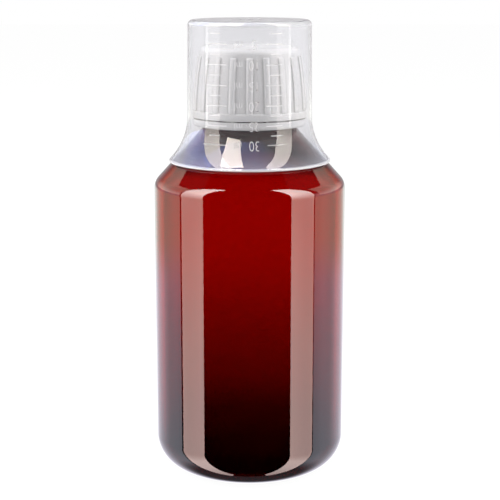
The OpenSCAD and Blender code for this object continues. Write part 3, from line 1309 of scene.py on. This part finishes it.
@dataclass
class MeasuringCup:
    """The clear cup, upside down, with raised marks for each 2.5 ml."""

    top_z: float = 130.225
    base_r: float = 17.45
    waist_r: float = 17.7
    wall: float = 0.7
    floor_t: float = 0.8
    edge_r: float = 1.3
    flare_r: float = 18.0
    flare_z: float = 103.478
    flare_angle: float = 46.0
    dimple_r: float = 2.9
    dimple_depth: float = 0.25
    dimple_slope: float = 0.3
    dimple_fillets: Point = (0.3, 0.2)
    dimple_room: float = 1.5
    slice_h: float = 0.02
    mark_rise: float = 0.5
    mark_step: float = 2.5
    mark_count: int = 12
    mark_parts: int = 10
    long_spans: tuple[Point, Point] = ((-42.0, -21.0), (15.0, 30.0))
    short_spans: tuple[Point, Point] = ((-37.5, -27.0), (19.0, 30.0))
    mark_r: float = 0.13
    mark_lift: float = 0.02
    text_size: float = 3.9
    text_angle: float = 4.0
    text_half_t: float = 0.09
    text_lift: float = 0.03
    text_thinning: float = 0.02
    text_narrowing: float = 0.8
    unit_share: float = 0.8
    unit_angle: float = -10.0
    segments: int = 224

    @property
    def flare_c_r(self) -> float:
        """Radius of the flare's centre."""
        return self.waist_r + self.flare_r

    @property
    def flare_end(self) -> float:
        """Angle at which the flare's arcs meet the round rim."""
        return 180 + self.flare_angle - math.degrees(self.wall / 2 / (self.flare_r + self.wall / 2))

    def outside(self) -> Outline:
        """Outline of the outer surface, from the middle of the closed end down to the rim."""
        dimple_z = self.top_z - self.dimple_depth
        low_edge, top_edge = self.dimple_fillets
        dimple = rounded(
            [
                (0.0, dimple_z, 0.0),
                (self.dimple_r - self.dimple_slope, dimple_z, low_edge),
                (self.dimple_r, self.top_z, top_edge),
                (self.dimple_r + self.dimple_room, self.top_z, 0.0),
            ],
            6,
        )
        return (
            dimple
            + arc(self.base_r - self.edge_r, self.top_z - self.edge_r, self.edge_r, 90, 0, 12)
            + arc(self.flare_c_r, self.flare_z, self.flare_r, 180, self.flare_end, 48)
        )

    def inside(self) -> Outline:
        """Outline of the rim and the inner surface, up to the middle of the closed end."""
        end, mid_r = self.flare_end, self.flare_r + self.wall / 2
        tip_r = self.flare_c_r + mid_r * math.cos(math.radians(end))
        tip_z = self.flare_z + mid_r * math.sin(math.radians(end))
        floor_z = self.top_z - self.floor_t
        inner_edge = self.edge_r - self.wall
        return (
            arc(tip_r, tip_z, self.wall / 2, end - 180, end - 360, 8)[1:-1]
            + arc(self.flare_c_r, self.flare_z, self.flare_r + self.wall, end, 180, 48)
            + arc(self.base_r - self.edge_r, floor_z - inner_edge, inner_edge, 0, 90, 8)
            + [(0.0, floor_z)]
        )

    def outer_r(self, z: float) -> float:
        """Gives the radius of the outer surface.

        Args:
            z: A height.

        Returns:
            The radius at that height.
        """
        if z >= self.flare_z:
            share = (z - self.flare_z) / (self.top_z - self.edge_r - self.flare_z)
            return self.waist_r + (self.base_r - self.waist_r) * min(share, 1.0)
        drop = (self.flare_z - z) / self.flare_r
        return self.flare_c_r - self.flare_r * math.sqrt(1 - drop * drop)

    def inner_r(self, z: float) -> float:
        """Gives the radius of the inner surface.

        Args:
            z: A height.

        Returns:
            The radius at that height.
        """
        if z >= self.flare_z:
            return self.outer_r(z) - self.wall
        drop = (self.flare_z - z) / (self.flare_r + self.wall)
        return self.flare_c_r - (self.flare_r + self.wall) * math.sqrt(1 - drop * drop)

    def level(self, millilitres: float) -> float:
        """Height at which the cup holds a volume, filled from its closed end.

        Args:
            millilitres: The volume.

        Returns:
            The height of the surface in the upside-down cup.
        """
        z, held = self.top_z - self.floor_t, 0.0
        while held < millilitres * ML:
            held += math.pi * self.inner_r(z - self.slice_h / 2) ** 2 * self.slice_h
            z -= self.slice_h
        return z + self.mark_rise

    def spot(self, angle: float, z: float, lift: float) -> Spot:
        """A point outside the wall by a lift, at a height and at degrees from the viewer's side."""
        r, a = self.outer_r(z) + lift, math.radians(angle)
        return (r * math.sin(a), -r * math.cos(a), z)

    def marks(self) -> Mesh:
        """Makes the wires of the scale's marks: longer at each 5 ml."""
        points: list[Spot] = []
        edges: list[tuple[int, int]] = []
        for k in range(1, self.mark_count + 1):
            z = self.level(self.mark_step * k)
            for start, end in self.short_spans if k % 2 else self.long_spans:
                first = len(points)
                points += [self.spot(angle, z, self.mark_lift) for angle in evenly(start, end, self.mark_parts)]
                edges += [(i, i + 1) for i in range(first, len(points) - 1)]
        return plain_mesh("mark_wires", points, edges=edges)

    def words(self, text: str, size: float, angle: float, z: float, material: Material) -> Mesh:
        """Makes raised lettering that reads with the cup the right way up.

        Args:
            text: The lettering.
            size: Size of the letters.
            angle: Angle of their middle round the axis, in degrees.
            z: Height of their middle.
            material: The material.

        Returns:
            The mesh, wrapped on to the cup.
        """
        curve = bpy.data.curves.new("words", "FONT")
        curve.body = text
        curve.size = size
        curve.align_x, curve.align_y = "CENTER", "CENTER"
        curve.extrude = self.text_half_t
        curve.offset = -self.text_thinning * size
        curve.resolution_u = 4
        mesh = plain_copy(add_object("words", curve))
        bpy.data.curves.remove(curve)
        shape = bmesh.new()
        shape.from_mesh(mesh)
        bmesh.ops.remove_doubles(shape, verts=shape.verts, dist=1e-5)
        bmesh.ops.recalc_face_normals(shape, faces=shape.faces)
        for vert in shape.verts:
            x, y, lift = vert.co
            high = z - y
            turn = angle - math.degrees(x * self.text_narrowing / self.outer_r(high))
            vert.co = Vector(self.spot(turn, high, lift + self.text_lift)) * MM
        bmesh.ops.recalc_face_normals(shape, faces=shape.faces)
        shape.to_mesh(mesh)
        shape.free()
        mesh.materials.clear()
        mesh.materials.append(material)
        face_outwards(mesh)
        return mesh

    def build(self, shop: Workshop, plastic: Material, frosted: Material) -> Object:
        """Builds the cup and its scale.

        Args:
            shop: The workshop.
            plastic: The clear plastic.
            frosted: The face of the marks.

        Returns:
            The cup's wall.
        """
        outline = supported(self.outside() + self.inside())
        cup = shop.turn("cup_wall", outline, plastic, self.segments)
        wall = place_piece(cup, Body.CUP, Body.CUP)
        marks = shop.bead_along("cup_marks", self.marks(), frosted, self.mark_r)
        place_piece(marks, Body.CUP)
        words = []
        for k in range(2, self.mark_count + 1, 2):
            volume = self.mark_step * k
            number, unit = (f"{volume:.0f}", 1.0, self.text_angle), ("ml", self.unit_share, self.unit_angle)
            for text, share, angle in (number, unit):
                words.append(self.words(text, self.text_size * share, angle, self.level(volume), frosted))
        place_piece(joined("cup_numerals", words), Body.CUP)
        return wall


# ------------------------------------------------------------------------------------------------------ studio


@dataclass(frozen=True)
class Panel:
    """A rectangular soft lamp, with its places and sizes in metres."""

    name: str
    centre: Spot
    aim: Spot
    size: Point
    glow: float = 1.0
    colour: Colour = (1.0, 1.0, 1.0)
    roll: float = 0.0

    def hang(self, mirrored_in: Collection | None = None) -> Light:
        """Hangs the lamp.

        Args:
            mirrored_in: The only pieces that mirror it. Without them it lights every piece and none mirrors it.

        Returns:
            Its light.
        """
        data = bpy.data.lights.new(self.name, "AREA")
        data.shape = "RECTANGLE"
        data.size, data.size_y = self.size
        data.color = self.colour
        data.energy = self.glow * math.pi * self.size[0] * self.size[1]
        lamp = add_object(self.name, data)
        lamp.location = self.centre
        turn = (Vector(self.aim) - Vector(self.centre)).to_track_quat("-Z", "Y")
        lamp.rotation_euler = (turn @ Quaternion((0.0, 0.0, 1.0), math.radians(self.roll))).to_euler()
        lamp.visible_camera = lamp.visible_transmission = False
        lamp.visible_diffuse = mirrored_in is None
        lamp.visible_glossy = mirrored_in is not None
        if mirrored_in is not None:
            lamp.light_linking.receiver_collection = mirrored_in
        return data


def upright(name: str, side: float, spread: Spread, glow: float = 1.0) -> Panel:
    """Plans an upright lamp that faces the object's axis from the side.

    Args:
        name: Name of the lamp.
        side: Its X.
        spread: Its lowest and highest Y and its lowest and highest Z.
        glow: How bright its face looks.

    Returns:
        The lamp.
    """
    near, far, low, high = spread
    spot = (side, (near + far) / 2, (low + high) / 2)
    return Panel(name, spot, (0.0, *spot[1:]), (far - near, high - low), glow)


@dataclass(frozen=True)
class Grading:
    """How a lamp's light changes by place.

    The tones run along an axis, by place in millimetres. The slope cuts off the lamp's top: how much the cut drops
    with Y, and the heights where it starts and ends. The rim is a brighter far edge below the cup's flare, with its
    distances in Y from that edge.
    """

    axis: str
    tones: tuple[RampStop, ...]
    slope: Spot | None = None
    rim_y: Point | None = None
    rim_z: Point = (0.13, 0.15)
    rim_share: float = 1.5
    across_shares: Point = (1.08, 0.86)

    def lay_on(self, data: Light, across: Point | None = None) -> None:
        """Grades a lamp.

        Args:
            data: The lamp's light.
            across: Y of its edge next to the viewer and of its far edge, if it is shaded across.
        """
        data.use_nodes = True
        data.node_tree.nodes.clear()
        sketch = Sketch(data.node_tree)
        position = sketch.add("ShaderNodeNewGeometry").outputs["Position"]
        place = sketch.add("ShaderNodeSeparateXYZ", position).outputs
        share = 1.0
        if across is not None:
            share = sketch.ease(place["Y"], *across, *self.across_shares)
            if self.rim_y is not None:
                start, full = (across[1] + y for y in self.rim_y)
                rim = sketch.ease(place["Y"], start, full, 0.0, self.rim_share)
                share = sketch.math("MULTIPLY_ADD", rim, sketch.ease(place["Z"], *self.rim_z, 1.0, 0.0), share)
        if self.slope is not None:
            level = sketch.math("MULTIPLY_ADD", place["Y"], self.slope[0], place["Z"])
            share = sketch.math("MULTIPLY", share, sketch.ease(level, *self.slope[1:], 1.0, 0.0))
        glow = sketch.add("ShaderNodeEmission", sketch.ramp(place[self.axis], self.tones), share)
        sketch.wire(sketch.add("ShaderNodeOutputLight").inputs[0], glow.outputs[0])


@dataclass
class Studio:
    """The floor, the backdrop, the lamps and the camera."""

    camera_spot: Spot = (0.0001, -0.408, 0.1464)
    camera_pitch: float = 11.41
    focal_px: float = 1433.0
    picture_px: float = 500.0
    sensor_w: float = 36.0
    floor_half: float = 3.0
    # The backdrop as reflections see it: its front edge (how it leans, start and full), its fades towards the
    # floor and the ceiling (start and end, and what is left there), and where its warm and upper parts start
    fill: float = 0.14
    front: Spot = (0.0655, -0.036, -0.018)
    low_fade: Spread = (-0.85, -0.6, 0.1, 1.0)
    high_fade: Spread = (0.05, 0.36, 1.0, 0.04)
    warm_z: Point = (-0.225, -0.185)
    upper_z: Point = (-0.11, -0.06)
    warm_tones: tuple[RampStop, ...] = (
        (150.0, (2.0, 1.8, 1.45)), (410.0, (1.48, 1.33, 1.07)), (630.0, (1.05, 0.97, 0.80)),
        (820.0, (1.2, 1.15, 1.02)), (940.0, (1.5, 1.55, 1.5)), (985.0, (0.4, 0.4, 0.36)),
    )
    cool_tones: tuple[RampStop, ...] = (
        (150.0, (1.7, 1.72, 1.98)), (410.0, (1.32, 1.28, 1.46)), (640.0, (1.40, 1.33, 1.54)),
        (820.0, (1.38, 1.32, 1.50)), (940.0, (1.45, 1.42, 1.55)), (985.0, (0.4, 0.4, 0.44)),
    )
    upper_tones: tuple[RampStop, ...] = ((150.0, (1.55, 1.5, 1.55)), (800.0, (0.56, 0.54, 0.56)))
    # Lamps that are mirrored: strips and shoulder panels on both sides, and a sky and a warm panel for the cup
    strips: tuple[Spot, ...] = ((-0.6, -0.40, -0.024), (0.6, -0.505, -0.09))
    strip_z: Point = (-3.0, 2.3)
    strip_glow: float = 13.0
    strip_light: Grading = Grading("Z", (
        (-2400.0, (0.36, 0.28, 0.27)), (-1200.0, (0.50, 0.39, 0.37)), (-800.0, (0.66, 0.50, 0.475)),
        (-450.0, (0.76, 0.565, 0.53)), (-240.0, (0.57, 0.385, 0.355)), (-180.0, (0.54, 0.365, 0.34)),
        (-120.0, (0.50, 0.355, 0.32)), (-30.0, (0.36, 0.28, 0.24)), (100.0, (0.56, 0.49, 0.44)),
        (400.0, (1.0, 0.93, 0.89)),
    ), slope=(2.35, 0.86, 0.90))
    cup_light: Grading = Grading("Z", (
        (-30.0, (0.34, 0.32, 0.30)), (46.0, (0.28, 0.27, 0.26)), (88.0, (0.20, 0.195, 0.19)),
        (110.0, (0.15, 0.147, 0.145)), (170.0, (0.52, 0.475, 0.43)), (400.0, (1.0, 0.92, 0.84)),
    ), rim_y=(-0.075, -0.06))
    shoulder_spread: Spread = (0.0, 2.3, 0.1, 0.60)
    shoulder_light: Grading = Grading("Y", (
        (440.0, (1.7, 1.51, 1.24)), (500.0, (1.35, 1.2, 0.99)), (680.0, (0.94, 0.84, 0.69)),
        (960.0, (0.26, 0.20, 0.13)), (1100.0, (0.06, 0.04, 0.02)),
    ), slope=(0.324, 0.722, 0.752))
    sky_spread: Spread = (-0.3, 1.2, 0.16, 1.0)
    sky_light: Grading = Grading("Y", (
        (-300.0, (0.4, 0.6, 1.9)), (0.0, (1.3, 1.7, 4.6)), (150.0, (1.5, 1.9, 4.8)), (320.0, (1.4, 1.7, 3.6)),
        (600.0, (0.9, 1.0, 1.3)), (1100.0, (0.3, 0.3, 0.4)),
    ))
    sky_top: Panel = Panel("sky_top", (-0.2, -0.75, 1.0), (-0.2, -0.75, 0.0), (1.8, 1.7))
    sky_top_light: Grading = Grading(
        "X", ((-1100.0, (0.8, 1.1, 3.2)), (100.0, (0.7, 0.95, 2.6)), (700.0, (0.1, 0.1, 0.3)))
    )
    warm_panel: Panel = Panel(
        "warm_panel", (-0.2415, -0.3425, 0.541), (-0.003, -0.019, 0.095), (0.26, 0.57), 24.0, (1.0, 0.90, 0.78), 15.6
    )
    # Soft lamps that light every piece; the side one hangs on both sides
    side_lamp: Panel = Panel("fill", (0.6, -0.03, 0.3), (0.0, 0.0, 0.09), (0.42, 0.5), 3.4)
    overhead: Panel = Panel("overhead", (0.0, -0.08, 0.9), (0.0, 0.0, 0.1), (0.7, 0.7), 3.9)

    def build_floor(self) -> None:
        """Lays the floor."""
        h = self.floor_half / MM
        mesh = plain_mesh("studio_floor", [(-h, -h, 0), (h, -h, 0), (h, h, 0), (-h, h, 0)], [(0, 1, 2, 3)])
        mesh.materials.append(PaleFloor("pale_floor").material())
        floor = add_object("studio_floor", mesh)

    def build_world(self) -> None:
        """Makes the backdrop: white where it is seen, and a soft room for reflections."""
        world = bpy.data.worlds.new("studio_world")
        bpy.context.scene.world = world
        world.use_nodes = True
        world.node_tree.nodes.clear()
        sketch = Sketch(world.node_tree)
        output = sketch.add("ShaderNodeOutputWorld")
        way = sketch.add("ShaderNodeTexCoord").outputs["Generated"]
        across, depth, height = sketch.add("ShaderNodeSeparateXYZ", way).outputs
        behind = sketch.ease(sketch.math("MULTIPLY_ADD", across, self.front[0], depth), *self.front[1:], 0.0, 1.0)
        below, above = (sketch.ease(height, *fade) for fade in (self.low_fade, self.high_fade))
        upper = sketch.scale(sketch.ramp(depth, self.upper_tones), sketch.math("MULTIPLY", above, behind))
        warm = sketch.scale(sketch.ramp(depth, self.warm_tones), behind)
        room = sketch.scale(sketch.ramp(depth, self.cool_tones), sketch.math("MULTIPLY", below, behind))
        for limits, tone in ((self.warm_z, warm), (self.upper_z, upper)):
            room = sketch.mix(sketch.ease(height, *limits, 0.0, 1.0), room, tone)
        rays = sketch.add("ShaderNodeLightPath").outputs
        shine, soft, white = (
            sketch.add("ShaderNodeBackground", *look).outputs[0]
            for look in ((room, 1.0), (WHITE, self.fill), (WHITE, 1.0))
        )
        mixed = sketch.add("ShaderNodeMixShader", rays["Is Glossy Ray"], soft, shine).outputs[0]
        seen = sketch.math("MAXIMUM", rays["Is Camera Ray"], rays["Is Transmission Ray"])
        final = sketch.add("ShaderNodeMixShader", seen, mixed, white).outputs[0]
        sketch.wire(output.inputs["Surface"], final)

    def build_lamps(self, in_cup: Collection, in_rest: Collection) -> None:
        """Hangs the lamps: strip boxes and panels to be mirrored, and soft lamps round the object.

        Args:
            in_cup: The cup's wall, which mirrors strips, a sky and a warm panel of its own.
            in_rest: The other pieces.
        """
        for side, near, far in self.strips:
            name = "left" if side < 0 else "right"
            for who, light, pieces in (("cup", self.cup_light, in_cup), ("rest", self.strip_light, in_rest)):
                strip = upright(f"strip_{who}_{name}", side, (near, far, *self.strip_z), self.strip_glow)
                light.lay_on(strip.hang(pieces), (near, far))
            self.shoulder_light.lay_on(upright(f"shoulder_{name}", side, self.shoulder_spread).hang(in_rest))
            replace(self.side_lamp, name=f"fill_{name}", centre=(side, *self.side_lamp.centre[1:])).hang()
        self.sky_light.lay_on(upright("sky_left", self.strips[0][0], self.sky_spread).hang(in_cup))
        self.sky_top_light.lay_on(self.sky_top.hang(in_cup))
        self.overhead.hang()
        self.warm_panel.hang(in_cup)

    def build_camera(self) -> None:
        """Sets the camera at the photograph's viewing angle."""
        data = bpy.data.cameras.new("camera")
        data.sensor_width = self.sensor_w
        data.lens = self.focal_px / self.picture_px * self.sensor_w
        data.clip_start, data.clip_end = 0.01, 20.0
        camera = add_object("camera", data)
        camera.location = self.camera_spot
        camera.rotation_euler = (math.radians(90 - self.camera_pitch), 0.0, 0.0)
        bpy.context.scene.camera = camera

    def build(self, cup_wall: Object) -> None:
        """Builds the studio.

        Args:
            cup_wall: The wall of the cup, which mirrors lamps of its own.
        """
        in_cup = bpy.data.collections.new("in_cup")
        in_rest = bpy.data.collections.new("in_rest")
        for piece in bpy.context.scene.objects:
            if piece.type == "MESH":
                (in_cup if piece is cup_wall else in_rest).objects.link(piece)
        self.build_camera()
        self.build_world()
        self.build_floor()
        self.build_lamps(in_cup, in_rest)
        bpy.context.scene.view_settings.view_transform = "Standard"


def main() -> None:
    """Builds the studio and every piece."""
    logging.basicConfig(level=logging.INFO, format="%(name)s: %(message)s")
    shop = Workshop()
    glass = AmberGlass("amber_glass").material()
    clear = ClearPlastic("clear_plastic").material()
    frosted = FrostedMark("frosted_mark").material()
    white = WhitePlastic("white_plastic").material()
    ribbed = RibbedPlastic("ribbed_plastic").material()
    foam = SealFoam("seal_foam").material()
    Bottle().build(shop, glass)
    TamperBand().build(shop, white)
    SealingDisc().build(shop, foam)
    ScrewCap().build(shop, ribbed)
    cup_wall = MeasuringCup().build(shop, clear, frosted)
    Studio().build(cup_wall)


if __name__ == "__main__":
    main()
